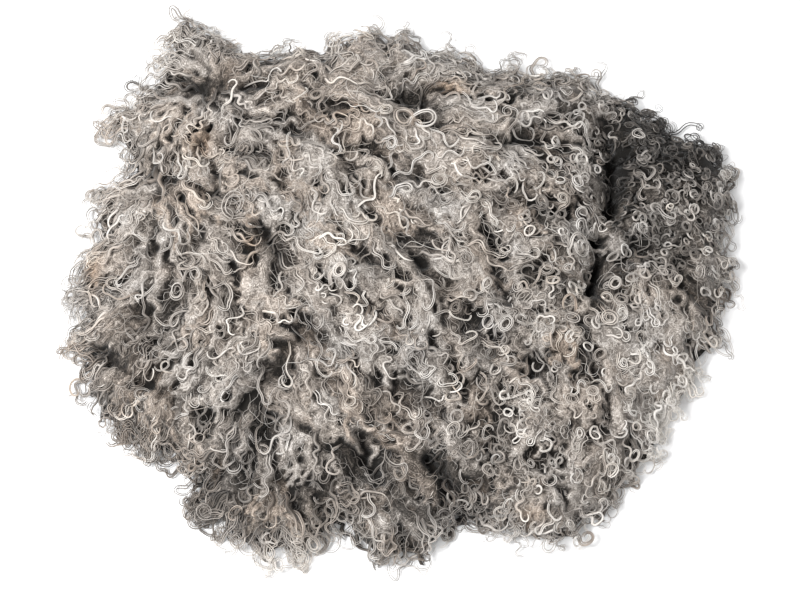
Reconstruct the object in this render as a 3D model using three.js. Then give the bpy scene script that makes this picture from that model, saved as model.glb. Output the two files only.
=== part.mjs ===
// A raw wool fleece, shorn in one piece from a curly longwool lamb and thrown
// open on a flat surface with its locks up. It is one felted-together mass, so it
// is one closed solid: a sole that lies flat, a crown of heaped locks, deep creases
// where the staples part, and an edge that runs out into tufts and notches.
//
// Millimetres, +Z up, +Y towards the far edge and +X towards the right one. Bearings
// are in degrees, anticlockwise from +X. Everything is laid out around the middle of
// a plain oval, and the finished solid is then moved so that the origin is on the
// surface under the middle of its box.

import * as THREE from 'three';

// Driving dimensions
const HALF_LENGTH = 402; // middle to the left and right edges of the plain oval
const HALF_WIDTH = 328; // middle to the far and near edges
const SQUARENESS = 2.5; // 2 makes an ellipse, more fills out its shoulders
const CROWN_HEIGHT = 74; // height of the heaped locks before mounds and creases
const SHOULDER_POWER = 4.5; // how far out the crown stays high
const EDGE_LIFT = 13; // height of the outermost lock tips
const SOLE_INSET = 9; // how far the flat sole stays inside those tips
const EDGE_FADE_POWER = 5; // how soon the edge's tufts and notches fade inwards
const LEAST_THICKNESS = 16; // the fleece never thins below this away from its edge

// Rings of points around the middle: each ring has RING_STEP points more than the
// one inside it, which keeps the triangles of one size all over.
const RINGS = 34;
const RING_STEP = 6;

// Where the edge runs out past the plain oval or falls short of it: reach is in
// millimetres at the bearing, spread is how many degrees it takes to fade.
const EDGE_FEATURES = [
  { name: 'far right corner', bearing: 22, reach: 30, spread: 5 },
  { name: 'far right slope', bearing: 42, reach: -18, spread: 7 },
  { name: 'far edge dip', bearing: 67, reach: -27, spread: 9 },
  { name: 'far edge swell', bearing: 98, reach: 18, spread: 7 },
  { name: 'corner tuft', bearing: 129, reach: 84, spread: 4.2 },
  { name: 'corner tuft root', bearing: 138, reach: 26, spread: 5 },
  { name: 'stray lock', bearing: 148, reach: 40, spread: 2.6 },
  { name: 'left notch', bearing: 155, reach: -20, spread: 3 },
  { name: 'left edge dip', bearing: 168, reach: -12, spread: 5 },
  { name: 'near left shoulder', bearing: 218, reach: -50, spread: 8 },
  { name: 'near left tip', bearing: 244, reach: 10, spread: 3.4 },
  { name: 'near left notch', bearing: 255, reach: -36, spread: 4 },
  { name: 'near notch', bearing: 285, reach: -50, spread: 6 },
  { name: 'near right notch', bearing: 314, reach: -14, spread: 3 },
  { name: 'near right shoulder', bearing: 333, reach: -50, spread: 14 },
];

// The fringe of lock tips all along the edge: tufts counts them around the fleece.
const FRINGE_WAVES = [
  { tufts: 29, reach: 4.5, turn: 10 },
  { tufts: 47, reach: 3.5, turn: 200 },
  { tufts: 71, reach: 2.5, turn: 95 },
];

// Heaps of locks that stand above the crown, or flats that lie below it.
const MOUNDS = [
  { name: 'back ridge', x: -40, y: 235, rise: 16, spread: 85 },
  { name: 'middle', x: -20, y: 10, rise: 10, spread: 120 },
  { name: 'right side', x: 320, y: 130, rise: 8, spread: 75 },
  { name: 'left side', x: -270, y: 90, rise: 8, spread: 90 },
  { name: 'near right lobe', x: 170, y: -170, rise: 10, spread: 90 },
  { name: 'turned-over flap', x: -345, y: -90, rise: 13, spread: 38 },
  { name: 'thin corner', x: -290, y: 300, rise: -26, spread: 70 },
  { name: 'bare britch', x: -190, y: -260, rise: -22, spread: 80 },
  { name: 'thin near edge', x: -30, y: -290, rise: -16, spread: 60 },
];

// Valleys where the fleece parts, each from one end to the other.
const CREASES = [
  { name: 'side parting, far half', from: [246, 205], to: [240, 110], depth: 34, halfWidth: 15 },
  { name: 'side parting, near half', from: [240, 110], to: [216, 0], depth: 30, halfWidth: 13 },
  { name: 'far right fold', from: [108, 182], to: [230, 176], depth: 18, halfWidth: 10 },
  { name: 'hollow under the ridge', from: [-38, 236], to: [12, 228], depth: 24, halfWidth: 17 },
  { name: 'back parting', from: [-70, 152], to: [-44, 158], depth: 15, halfWidth: 14 },
  { name: 'middle furrow', from: [-12, 58], to: [30, 36], depth: 14, halfWidth: 11 },
  { name: 'right furrow', from: [104, 44], to: [122, -18], depth: 16, halfWidth: 12 },
  { name: 'near hollow', from: [-36, -172], to: [-48, -222], depth: 24, halfWidth: 16 },
  { name: 'flap hollow', from: [-372, -64], to: [-344, -82], depth: 20, halfWidth: 13 },
  { name: 'corner parting', from: [-236, 142], to: [-214, 176], depth: 14, halfWidth: 13 },
  { name: 'britch parting', from: [-120, -204], to: [-92, -262], depth: 18, halfWidth: 15 },
];

// Rolling relief of the staples: crest to crest length, heading and half height.
const STAPLE_WAVES = [
  { length: 83, heading: 12, height: 3.2, turn: 40 },
  { length: 58, heading: 71, height: 3.4, turn: 150 },
  { length: 46, heading: 128, height: 2.8, turn: 260 },
  { length: 37, heading: 162, height: 2.2, turn: 15 },
];

const radians = THREE.MathUtils.degToRad;
const bell = (distance, spread) => Math.exp(-0.5 * (distance / spread) ** 2);

function degreesBetween(bearingA, bearingB) {
  const turn = Math.abs(bearingA - bearingB) % 360;
  return Math.min(turn, 360 - turn);
}

// Distance from the middle to the plain oval at a bearing.
function ovalReach(bearing) {
  const along = Math.abs(Math.cos(radians(bearing))) / HALF_LENGTH;
  const across = Math.abs(Math.sin(radians(bearing))) / HALF_WIDTH;
  return (along ** SQUARENESS + across ** SQUARENESS) ** (-1 / SQUARENESS);
}

// How far the lock tips run out past the plain oval at a bearing.
function tuftReach(bearing) {
  let reach = 0;
  for (const feature of EDGE_FEATURES) {
    reach += feature.reach * bell(degreesBetween(bearing, feature.bearing), feature.spread);
  }
  for (const wave of FRINGE_WAVES) {
    reach += wave.reach * Math.sin(radians(wave.tufts * bearing + wave.turn));
  }
  return reach;
}

// A place in plan: share runs from 0 in the middle to 1 at the lock tips.
function planPoint(bearing, share, inset = 0) {
  const distance = share * (ovalReach(bearing) + tuftReach(bearing) * share ** EDGE_FADE_POWER) - inset;
  return [distance * Math.cos(radians(bearing)), distance * Math.sin(radians(bearing))];
}

// How far a point is from the nearest point of a crease's floor.
function distanceToCrease(x, y, crease) {
  const [fromX, fromY] = crease.from;
  const runX = crease.to[0] - fromX;
  const runY = crease.to[1] - fromY;
  const along = ((x - fromX) * runX + (y - fromY) * runY) / (runX ** 2 + runY ** 2);
  const held = THREE.MathUtils.clamp(along, 0, 1);
  return Math.hypot(x - fromX - held * runX, y - fromY - held * runY);
}

// Height of the fleece if it had no edge.
function heapHeight(x, y) {
  let height = CROWN_HEIGHT;
  for (const mound of MOUNDS) {
    height += mound.rise * bell(Math.hypot(x - mound.x, y - mound.y), mound.spread);
  }
  for (const crease of CREASES) {
    height -= crease.depth * bell(distanceToCrease(x, y, crease), crease.halfWidth);
  }
  for (const wave of STAPLE_WAVES) {
    const heading = radians(wave.heading);
    const travel = (x * Math.cos(heading) + y * Math.sin(heading)) / wave.length;
    height += wave.height * Math.sin(2 * Math.PI * travel + radians(wave.turn));
  }
  return Math.max(height, LEAST_THICKNESS);
}

function topPoint(bearing, share) {
  const [x, y] = planPoint(bearing, share);
  const shoulder = Math.sqrt(1 - share ** SHOULDER_POWER);
  return [x, y, EDGE_LIFT + (heapHeight(x, y) - EDGE_LIFT) * shoulder];
}

function solePoint(bearing) {
  return [...planPoint(bearing, 1, SOLE_INSET), 0];
}

// Joins an inner ring to the ring outside it, going round both at the same pace.
function joinRings(triangles, inner, outer) {
  let onInner = 0;
  let onOuter = 0;
  while (onInner < inner.count || onOuter < outer.count) {
    const innerVertex = inner.first + (onInner % inner.count);
    const outerVertex = outer.first + (onOuter % outer.count);
    const outerIsNext = (onOuter + 1) * inner.count <= (onInner + 1) * outer.count;
    if (onInner === inner.count || (outerIsNext && onOuter < outer.count)) {
      onOuter += 1;
      triangles.push(innerVertex, outerVertex, outer.first + (onOuter % outer.count));
    } else {
      onInner += 1;
      triangles.push(innerVertex, outerVertex, inner.first + (onInner % inner.count));
    }
  }
}

function fleeceGeometry() {
  const points = [];
  const triangles = [];
  const addRing = (count, pointAt) => {
    const ring = { first: points.length, count };
    for (let step = 0; step < count; step += 1) {
      points.push(pointAt((360 * step) / count));
    }
    return ring;
  };

  const middle = addRing(1, () => topPoint(0, 0));
  let inner = addRing(RING_STEP, (bearing) => topPoint(bearing, 1 / RINGS));
  for (let step = 0; step < RING_STEP; step += 1) {
    triangles.push(middle.first, inner.first + step, inner.first + ((step + 1) % RING_STEP));
  }
  for (let ring = 2; ring <= RINGS; ring += 1) {
    const outer = addRing(ring * RING_STEP, (bearing) => topPoint(bearing, ring / RINGS));
    joinRings(triangles, inner, outer);
    inner = outer;
  }

  const sole = addRing(inner.count, solePoint);
  joinRings(triangles, inner, sole);
  const underMiddle = addRing(1, () => [0, 0, 0]);
  for (let step = 0; step < sole.count; step += 1) {
    triangles.push(underMiddle.first, sole.first + ((step + 1) % sole.count), sole.first + step);
  }

  const geometry = new THREE.BufferGeometry();
  geometry.setAttribute('position', new THREE.Float32BufferAttribute(points.flat(), 3));
  geometry.setIndex(triangles);
  geometry.computeBoundingBox();
  const boxMiddle = geometry.boundingBox.getCenter(new THREE.Vector3());
  geometry.translate(-boxMiddle.x, -boxMiddle.y, 0);
  geometry.computeVertexNormals();
  return geometry;
}

const greyWool = new THREE.MeshStandardMaterial({
  color: 0x96918b,
  roughness: 0.85,
  metalness: 0,
});

const fleece = new THREE.Mesh(fleeceGeometry(), greyWool);
fleece.name = 'fleece';

const rawFleece = new THREE.Group();
rawFleece.add(fleece);

export default rawFleece;
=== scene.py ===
import math

import bpy
import numpy as np
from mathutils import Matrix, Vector
from mathutils.bvhtree import BVHTree
from mathutils.kdtree import KDTree


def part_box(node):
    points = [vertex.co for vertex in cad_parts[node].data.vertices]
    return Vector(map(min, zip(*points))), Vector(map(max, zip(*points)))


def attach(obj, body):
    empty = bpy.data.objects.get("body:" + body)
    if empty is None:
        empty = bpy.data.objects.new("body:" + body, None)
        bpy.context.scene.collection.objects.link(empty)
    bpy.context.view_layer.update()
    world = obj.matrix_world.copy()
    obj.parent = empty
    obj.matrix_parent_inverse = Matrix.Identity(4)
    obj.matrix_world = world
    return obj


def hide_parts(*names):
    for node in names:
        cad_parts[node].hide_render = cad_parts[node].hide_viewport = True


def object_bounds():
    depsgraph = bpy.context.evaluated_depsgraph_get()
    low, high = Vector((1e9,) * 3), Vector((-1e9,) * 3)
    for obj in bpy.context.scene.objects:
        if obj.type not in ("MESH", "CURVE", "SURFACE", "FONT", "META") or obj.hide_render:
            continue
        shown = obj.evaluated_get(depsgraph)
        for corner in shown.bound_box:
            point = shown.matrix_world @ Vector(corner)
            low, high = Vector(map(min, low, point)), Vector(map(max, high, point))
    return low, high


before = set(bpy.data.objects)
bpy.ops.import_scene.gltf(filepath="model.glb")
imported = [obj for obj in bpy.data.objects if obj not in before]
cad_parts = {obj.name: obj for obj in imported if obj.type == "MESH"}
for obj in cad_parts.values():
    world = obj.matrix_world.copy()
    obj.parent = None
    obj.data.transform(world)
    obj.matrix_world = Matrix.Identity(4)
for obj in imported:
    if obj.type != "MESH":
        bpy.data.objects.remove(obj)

# A raw fleece of a curly longwool lamb, thrown open with its locks up. Its body is one
# soft mass, draped over the locks of every staple, and the wool that stands out of it is
# made lock by lock from a few rules: where a lock is rooted, which way it lies, how it
# waves and how its tip curls. Metres, +Z up, seen from above with +Y away.

CAD_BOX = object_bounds()
MM = 0.001
TURN = 2 * math.pi


def table(columns, *rows):
    """Rows of values under named columns. A row may leave out its last columns."""
    return [dict(zip(columns.split(), row)) for row in rows]


# ---------------------------------------------------------------- sizes and places

# Places and reaches in these tables are in millimetres. How the wool lies in each part of
# the fleece: heading in degrees from +X, how far the patch reaches, how strongly its locks
# wave, how many turns their tips take, and how large they are.
LIE_OF_THE_WOOL = table(
    "name at heading reach wave turns size",
    ("back", (0, 130), -28, 130, 1.0, 0.4, 1.3),
    ("far left", (-320, 170), -118, 85, 1.0, 0.5, 1.25),
    ("corner", (-266, 292), 112, 48, 1.15, 0.6, 1.1),
    ("far left tuft", (-364, 202), 166, 36, 1.1, 0.6, 1.15),
    ("left tuft", (-366, 104), 172, 32, 1.1, 0.6, 1.15),
    ("far left, inner", (-195, 150), -24, 90, 1.15, 0.45, 1.2),
    ("left side", (-330, -20), -155, 95, 1.1, 0.55, 1.3),
    ("middle", (-100, 10), -42, 120, 1.1, 0.4, 1.35),
    ("near middle", (-60, -170), -60, 110, 1.0, 0.55, 1.25),
    ("near left", (-230, -180), -105, 100, 0.9, 0.7, 1.15),
    ("far edge", (60, 290), 40, 80, 0.9, 0.9, 1.1),
    ("right side", (190, 0), -70, 120, 0.8, 1.2, 1.0),
    ("dark side", (320, 120), -40, 100, 0.65, 1.45, 0.9),
    ("near right", (160, -210), -75, 110, 0.95, 1.0, 0.95),
    ("right edge", (320, -110), -72, 90, 1.15, 0.75, 0.9),
)

# Partings, where the locks fall away to both sides and leave a dark hollow.
PARTINGS = table(
    "name start end width depth",
    ("right crack, far", (236, 192), (250, 152), 9, 20),
    ("right crack, middle", (251, 142), (247, 70), 10, 30),
    ("right crack, near", (232, 40), (214, -26), 9, 22),
    ("far crease", (106, 160), (168, 166), 6, 12),
    ("far crease, right", (184, 160), (232, 164), 6, 12),
    ("hollow under the back", (-41, 226), (10, 214), 11, 18),
    ("back, small", (-70, 124), (-46, 124), 7, 13),
    ("far left, small", (-232, 129), (-228, 100), 7, 12),
    ("middle, small", (-11, 24), (22, 6), 6, 12),
    ("middle right", (100, -4), (114, -40), 8, 17),
    ("middle left", (-174, 52), (-162, 28), 7, 8),
    ("near furrow", (-51, -197), (-36, -236), 9, 16),
    ("near furrow, right", (22, -222), (54, -258), 8, 13),
    ("flap hollow", (-362, -86), (-338, -112), 11, 18),
    ("flap crease", (-330, -120), (-290, -146), 6, 8),
    ("near right", (172, -98), (192, -120), 7, 12),
    ("near right, low", (228, -164), (240, -192), 7, 12),
)

# Where the wool is darker or paler, and browner, than plain mid grey. Most of it is the wool's
# own tone; the dark patches in the right crack, the corner crease, the near furrow and under
# the back are painted shade, and the pale right edge is painted light.
TONE_PATCHES = table(
    "name at reach shade warmth",
    ("dark side", (322, 180), (80, 72), -0.6, -0.4),
    ("dark side, near", (300, 42), (48, 26), -0.2, -0.1),
    ("right edge, far", (348, 80), (28, 36), 0.06),
    # Painted shade in the crack.
    ("right crack", (258, 112), (16, 66), -0.33, -0.2),
    ("right crack, near", (224, 8), (11, 44), -0.02, -0.1),
    ("middle", (-95, -25), (125, 100), 0.13, 0.03),
    ("back, left", (-150, 98), (50, 45), 0.03),
    ("corner", (-270, 284), (30, 30), 0.07, -0.1),
    # Painted shade in the crease.
    ("corner crease", (-236, 232), (34, 12), -0.08),
    ("far left, inner", (-240, 186), (46, 36), 0.2),
    ("right, near", (165, -120), (80, 80), 0.05),
    ("far edge, left", (-70, 235), (90, 70), 0.04, 0.05),
    ("near middle, right", (41, -169), (40, 36), -0.06),
    # Painted shade along the near furrow.
    ("near furrow", (40, -262), (45, 32), -0.07),
    ("near tip, left", (-150, -345), (50, 34), 0.45),
    ("near tip, right", (140, -325), (56, 42), 0.2),
    # Painted shade on the near side under the back.
    ("under the back", (-20, -270), (160, 55), -0.175),
    ("near middle", (-56, -168), (55, 42), -0.06),
    ("near left", (-222, -270), (75, 60), -0.18, 0.1),
    # Painted light on the side that faces away from the key lamp.
    ("right edge", (330, -172), (56, 66), 0.86),
    ("right side", (205, 20), (50, 45), 0.1),
    ("left side", (-345, -90), (60, 60), -0.05, 0.05),
    ("left side, far", (-301, -12), (26, 26), 0.12),
    ("left side, near", (-340, -170), (60, 45), -0.12, 0.05),
    ("far left", (-315, 90), (90, 90), 0.1, 0.05),
    ("left side, middle", (-265, -50), (50, 45), 0.02),
    ("left edge", (-350, 8), (44, 40), -0.06),
    ("left side, inner", (-156, 12), (40, 40), -0.15),
    ("middle, far", (-50, 10), (40, 40), 0.04),
    ("left, near", (-252, -168), (54, 42), -0.08),
    ("back, far left", (-151, 187), (44, 40), -0.06),
    ("far edge, corner", (-151, 272), (44, 30), -0.05),
    ("behind the crack", (225, 190), (34, 44), 0.22),
    ("middle, right", (41, -80), (46, 42), 0.06),
    ("right, nearer", (236, -100), (48, 80), 0.1),
    ("back, right", (45, 118), (50, 60), 0.1),
    ("near right", (262, -140), (85, 120), 0.09),
    ("back", (-20, 112), (115, 60), 0.09, 0.05),
    ("back, middle", (-52, 90), (44, 42), 0.12),
    ("far edge", (-20, 275), (100, 50), 0.06),
    ("tan lock", (-250, 160), (14, 24), 0.0, 0.45),
    ("tan streak", (-182, 30), (12, 30), 0.0, 0.45),
    ("tan far edge", (50, 225), (22, 12), 0.0, 0.4),
    ("tan flap", (-372, 0), (12, 28), 0.0, 0.4),
    ("tan back", (-70, 200), (18, 14), 0.0, 0.35),
    ("tan great loop", (8, 182), (24, 16), 0.0, 0.3),
    ("tan near edge", (140, -285), (20, 14), 0.0, 0.4),
)

# Single curls that stand out. A wavy lead of lock arrives along the heading and winds
# round the curl's middle by hand: 1 to the left, -1 to the right. Some are thicker than
# the rest, or paler.
CURLS = table(
    "name at radius turns heading lead hand thick pale",
    ("disc", (-79, -11), 7, 1.6, 60, 22, -1, 2.0, 0.2),
    ("great loop, left", (-4, 181), 13, 0.95, 97, 22, 1, 1.7, -0.15),
    ("great loop, right", (20, 180), 15, 0.9, 80, 26, -1, 1.7, -0.12),
    ("beside the great loop", (-26, 190), 8, 1.0, 60, 12, -1),
    ("left ring", (-204, 72), 13, 1.0, 200, 24, -1),
    ("pale ring", (123, 74), 7, 1.4, 100, 18, -1),
    ("middle ring", (68, 4), 7, 1.2, -60, 30, 1),
    ("right ring", (158, 75), 7, 1.1, -20, 20, 1),
    ("right ring, far", (183, 80), 6, 1.2, 40, 16, 1),
    ("ring in the crack", (223, 48), 5, 1.1, 10, 26, 1),
    ("crack loop", (203, 24), 13, 1.0, 80, 26, -1),
    ("crack foot", (242, -21), 7, 1.2, -30, 14, -1),
    ("below the crack", (248, -42), 7, 1.2, 120, 20, 1),
    ("spiral", (234, -63), 8, 1.4, -100, 20, 1),
    ("white hook", (116, -33), 7, 0.5, -113, 30, 1, 1.4, 0.16),
    ("near ring", (112, -75), 8, 1.2, 60, 18, -1),
    ("near ring, left", (55, -55), 6, 1.1, -70, 22, -1),
    ("back ring", (-109, 209), 7, 1.1, 70, 22, 1),
    ("middle hook", (-19, 146), 7, 0.9, 20, 16, -1),
    ("back ring, right", (37, 101), 7, 1.2, -50, 20, 1),
    ("back hook", (-2, 88), 7, 0.8, 30, 30, -1),
    ("left hook", (-246, -14), 7, 0.9, 25, 32, -1),
    ("left loop", (-268, -31), 8, 1.1, -80, 14, 1),
    ("pale hook", (-181, 45), 7, 0.8, 150, 12, 1),
    ("double hook", (-236, 73), 8, 0.6, -90, 14, 1),
    ("far corner stray", (-342, 250), 9, 0.7, 140, 40, 1),
    ("far left stray", (-372, 218), 8, 0.6, 170, 44, 1),
    ("far left loop", (-378, 186), 9, 0.8, 190, 40, -1),
    ("left loop, far", (-384, 108), 9, 1.0, 175, 34, 1),
    ("left stray", (-396, 64), 8, 0.8, 195, 36, -1),
    ("left edge loop", (-404, -20), 9, 0.9, 170, 30, 1),
    ("far right loop", (278, 228), 8, 0.9, 50, 36, -1),
    ("far right stray", (237, 266), 6, 0.8, 80, 30, 1),
    ("far hook", (168, 282), 9, 0.7, 70, 34, -1),
    ("near right loop", (207, -310), 8, 0.9, -50, 30, 1),
    ("near gap curl", (-109, -318), 7, 0.9, -20, 26, -1),
    ("near gap curl, left", (-126, -312), 6, 1.0, -70, 20, 1),
    ("near left tip", (-148, -340), 7, 0.8, -60, 34, 1),
)

# Tufts of the edge that reach out past the rest: where they are rooted, with how many locks.
EDGE_TUFTS = table(
    "name at locks",
    ("corner", (-276, 300), 9),
    ("corner, left", (-292, 268), 7),
    ("far left", (-348, 196), 9),
    ("left, far", (-362, 108), 7),
    ("left, middle", (-378, 30), 7),
    ("left", (-380, -18), 9),
    ("flap", (-370, -108), 8),
    ("flap, near", (-322, -178), 9),
    ("flap, corner", (-290, -196), 6),
    ("near left tip", (-146, -306), 7),
)

# Tufts that fill the felted edge at the near left.
NEAR_TUFTS = table(
    "name at locks",
    ("far end", (-238, -246), 10),
    ("middle", (-216, -268), 10),
    ("near end", (-196, -288), 8),
)

# Where the wool is felted close: the share of the locks that lie in the mass there and
# don't stand out from it.
MATTED = table(
    "name at reach share",
    ("near left", (-182, -254), (56, 46), 0.75),
    ("near left, inner", (-108, -178), (24, 34), 0.9),
    ("left flap", (-348, -150), (40, 44), 0.6),
    ("left, middle", (-166, 0), (30, 26), 0.7),
    ("left side", (-318, 60), (44, 30), 0.5),
    ("middle", (60, 6), (26, 20), 0.6),
    ("near right tip", (190, -290), (40, 30), 0.5),
    ("right side", (350, 40), (34, 60), 0.45),
)

# What is scaled to metres as a kind of lock is made. Steps and radii are scaled when they
# have been drawn.
SCALED = """spacing from_edge clear width wavelength aside waves_from curl_radius past sunk
low high stack spread dome""".split()
ANY_DISTANCE = math.inf


def kind(base, **changes):
    """A kind of lock: its base with these changes. Every length is given in millimetres."""
    for name in SCALED:
        if name in changes:
            changes[name] = np.multiply(changes[name], MM)
    return {**base, **changes}


# How each kind of lock is made. Angles are in radians. Step is the range of the lengths
# from one point of a lock to the next, and root and tip are the ranges of its radii there.
# Past is how far the tips may stop short of the fleece's edge or pass it. Sunk, low and high
# are heights over the fleece's form: of a root, and of the lowest and highest tips. Felts is
# how far the kind gives way where the wool is matted, from 0 to 1. No lock is rooted where a
# parting is deeper than clear. From edge is how far inside the fleece's edge the roots of
# single locks begin and end. Where curly keeps the least share of these locks where the tips
# take the first number of turns, and all of them where they take the second.
COMMON = kind(
    {}, clear=8, flat=(0.85, 0.85), spread_of_shade=0.07, bright_share=0.0, follows_tone=1.0,
    dark_if_curly=0.0, taper=1.0, stack=3, tilt=0.4, strands=1, spread=0, gather=1.0, dome=0,
    converge=0.0, felts=1.0, where_curly=None,
)
UNDER_LOCKS = kind(
    COMMON, from_edge=(12, 60), spacing=21, points=12, step=(5.4, 7.2), root=(6.5, 9.5),
    tip=(1.5, 2.6), flat=(0.4, 0.5), shade=0.5, spread_of_shade=0.06, pale_tip=0.16, taper=0.8,
    scatter=0.35, stray=0.1, bend=0.5, wave=0.8, wavelength=30, turns=0.12, curl_radius=12,
    past=(-14, 0), sunk=-22, low=-12, high=-5, stack=1, tilt=0.1, felts=0.0,
)
STAPLE_SPACING = 41 * MM
STAPLE_WIDTH = 34 * MM
ABREAST_VARIES = 0.08  # how unevenly a staple's locks stand abreast, in widths
ROOTED_BACK = 0.4  # and how far before or behind its middle
BARE_SHARE = 0.02  # of the places of staples that stay empty and dark
STAPLED = kind(
    COMMON, scatter=0.32, bend=0.5, wave=0.95, wavelength=20, curl_radius=6.4, dome=8,
    converge=0.26,
)
MASS_LOCKS = kind(
    STAPLED, per_staple=8, points=24, step=(2.6, 3.3), root=(4.8, 6.8), tip=(2.0, 3.0), flat=0.55,
    shade=0.54, pale_tip=0.16, follows_tone=1.6, dark_if_curly=0.26, taper=0.8, stray=0.12,
    turns=0.35, past=(-26, -10), sunk=-18, low=-15, high=-1, stack=1, tilt=0.1,
)
STAPLE_BODIES = kind(
    STAPLED, points=22, step=(2.7, 3.5), root=(2.9, 4.4), tip=(0.9, 1.5), flat=(0.27, 0.42),
    shade=0.59, pale_tip=0.3, taper=0.9, stray=0.12, turns=0.6, past=(-20, 2), sunk=-18, low=-13,
    high=3, stack=1.5, tilt=0.2, felts=0.0,
)
STAPLE_CORDS = kind(
    STAPLED, points=22, step=(2.6, 3.4), root=(1.4, 2.1), tip=(0.55, 0.9), flat=(0.6, 0.85),
    shade=0.68, pale_tip=0.28, bright_share=0.32, follows_tone=0.75, taper=1.25, stray=0.14,
    turns=0.95, past=(-18, 9), sunk=-15, low=-10, high=6, stack=2.5, tilt=0.35, strands=2,
    spread=1.6, gather=0.45,
)
STAPLE_FIBRES = kind(
    STAPLED, points=17, step=(3.5, 4.5), root=(0.35, 0.65), tip=(0.22, 0.34), shade=0.68,
    pale_tip=0.2, bright_share=0.2, follows_tone=0.8, stray=0.17, turns=0.8, past=(-15, 12),
    sunk=-13, low=-12, high=4, stack=2.5, tilt=0.3, dome=6, converge=0.1, felts=0.5,
)
RING_LOCKS = kind(
    COMMON, from_edge=(6, ANY_DISTANCE), where_curly=dict(least=0.25, turns=(0.5, 1.4)),
    spacing=22, points=20, step=(2.4, 3.2), root=(0.8, 1.2), tip=(0.55, 0.9), flat=(0.85, 0.9),
    shade=0.74, spread_of_shade=0.12, pale_tip=0.2, bright_share=0.3, follows_tone=0.9,
    scatter=0.9, stray=0.3, bend=0.9, wave=0.85, wavelength=24, turns=1.05, curl_radius=6.4,
    past=(-16, 12), sunk=-9, low=-3, high=6, strands=2, spread=0.75, gather=0.8,
)
SMALL_CURLS = kind(
    COMMON, from_edge=(6, ANY_DISTANCE), where_curly=dict(least=0.0, turns=(1.1, 1.32)), clear=20,
    spacing=12, points=15, step=(2.0, 2.9), root=(0.7, 1.2), tip=(0.5, 0.9), flat=(0.85, 0.9),
    shade=0.62, spread_of_shade=0.14, pale_tip=0.26, bright_share=0.2, follows_tone=0.9,
    scatter=1.4, stray=0.4, bend=0.9, wave=1.0, wavelength=21, turns=0.8, curl_radius=4.8,
    past=(-16, 8), sunk=-6, low=-2, high=8, stack=2, strands=2, spread=0.65, gather=0.8,
)
SET_CURLS = kind(
    COMMON, points=32, lead_points=12, root=(0.7, 1.05), tip=(0.5, 0.8), flat=(0.8, 0.9),
    shade=0.72, spread_of_shade=0.08, pale_tip=0.12, aside=3.5, wavelength=22, waves_from=10,
    winding_in=0.35, squash=0.14, sunk=-10, high=10, stack=1.5, strands=3, spread=1.9,
    gather=0.75, felts=0.0,
)
TUFT_LOCKS = kind(
    COMMON, width=34, points=22, step=(3.0, 4.0), root=(1.4, 2.2), tip=(0.5, 0.85),
    flat=(0.6, 0.85), shade=0.72, spread_of_shade=0.08, pale_tip=0.2, bright_share=0.3, taper=1.1,
    scatter=0.15, stray=0.25, bend=0.4, wave=0.9, wavelength=24, turns=1.1, curl_radius=6.4,
    past=(0, 18), sunk=-10, low=-4, high=8, stack=2.5, tilt=0.3, strands=2, spread=1.8,
    gather=0.6, dome=4, converge=0.1, felts=0.0,
)
EDGE_WISPS = kind(
    COMMON, from_edge=(4, 30), spacing=19, points=20, step=(3.0, 5.0), root=(0.5, 0.9),
    tip=(0.3, 0.6), shade=0.66, pale_tip=0.1, bright_share=0.1, scatter=0.6, stray=0.3, bend=0.9,
    wave=1.1, wavelength=25, turns=0.9, curl_radius=7.5, past=(-8, 22), sunk=-8, low=0, high=12,
    strands=2, spread=1.4, gather=0.7, felts=0.0,
)
FLYAWAYS = kind(
    COMMON, from_edge=(10, ANY_DISTANCE), spacing=62, points=22, step=(3.2, 5.6),
    root=(0.25, 0.42), tip=(0.22, 0.35), shade=0.76, spread_of_shade=0.06, pale_tip=0.1,
    scatter=1.2, stray=0.3, bend=1.6, wave=0.9, wavelength=34, turns=0.8, curl_radius=9,
    past=(-5, 14), sunk=-5, low=2, high=10, tilt=0.5,
)

# The ground that locks are laid on, and what turns them on it.
PARTED_LEAST = 0.4  # the share of its height that the fleece keeps in a parting
APRON = 8 * MM  # how high the locks' ground is at the fleece's edge
APRON_FADE = 14 * MM  # how soon it falls away past the edge
RIM_SLOPE = 1.2  # and how steeply it rises inside
FOLLOW_EDGE = 42 * MM  # how near the edge the locks begin to point outwards
OUTWARDS_PULL = 1.5  # how strongly they turn to it
PARTED_PULL = 0.9  # how strongly they turn away from a parting
PARTED_REACH = 1.6  # and how far, in widths of the parting
MATTED_FROM = 45 * MM  # how far inside the edge the matted wool begins
ROOTS_STRAY = 0.42  # how far roots lie off an even grid, in spacings
STAPLE_ROOTS_FROM = 8 * MM  # how far inside the edge the staples are rooted

# How a lock runs, and how it differs from its kind and from others of its staple. A
# pair is a range that each lock's or staple's own value is drawn from.
STRIDES = ((0, 0.12, 0.3, 1), (2.5, 1.7, 1.05, 0.72))  # longer at the root than in the curl
STEP_OF_SIZE = 0.6  # how far the steps follow the size of their area
TURNS_VARY = (0.45, 1.35)
WAVES_VARY = (0.7, 1.2)
WAVELENGTHS_VARY = (0.85, 1.25)
RADII_VARY = (0.7, 1.35)
OUT_OF_PHASE = 0.35
OUT_OF_BEND = 0.2
SAME_HAND = 0.75  # the share of a staple's locks that wind the same way
CURL_PACE = 0.85  # how much of a full ring's length one turn of a curl takes
LONGEST_CURL = 0.8  # the share of a lock that its curl may take
SLOW_SWINGS = (0.7, 2.2)  # in a lock's pace and strength of wave, along its length
STAPLE_HURRY = 0.6
LOCK_HURRY = 0.35
LOCK_SWINGS = 2.3
STRENGTH = 0.85
STRENGTH_SWING = 0.5
WAVES_FROM = 0.15  # the share of its length where a lock begins to wave
TIGHTENS = (-0.15, 0.5)
OVALS = 0.55  # how far the curls are drawn out from a round
OVAL_PACE = 3  # how soon in a curl this begins
LEAN_PACE = 4  # and how soon its lean does
FEWER_OUT = 1.3  # above 1, fewer tips reach far past the edge
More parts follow.
